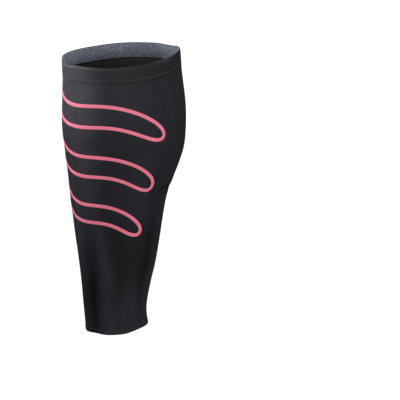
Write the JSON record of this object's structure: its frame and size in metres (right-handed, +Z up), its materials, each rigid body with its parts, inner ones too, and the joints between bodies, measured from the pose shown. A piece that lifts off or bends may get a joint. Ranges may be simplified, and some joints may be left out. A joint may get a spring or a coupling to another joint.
{
  "type": "calf compression sleeve",
  "caption": "Tapered knitted compression sleeve shaped to a calf as worn, open at both ends, with a grey elastic band inside its rim and printed wavy bands.",
  "frame": {"origin": "on the leg's line at the calf's fullest girth, where the leg holds the sleeve", "axes": "+Z up the leg to the knee, -Y to the shin, +Y to the calf, +X to the leg's outer side, where the print is"},
  "size_m": [0.1229, 0.1334, 0.3094],
  "materials": {
    "knit": "smooth stretch knit with a faint sheen",
    "elastic": "heathered brushed elastic",
    "print": "thin matt elastic ink"
  },
  "bodies": {
    "root": {"sleeve_body": "knit", "top_band": "elastic", "print_wave_upper": "print", "print_wave_middle": "print", "print_wave_lower": "print"}
  },
  "joints": []
}
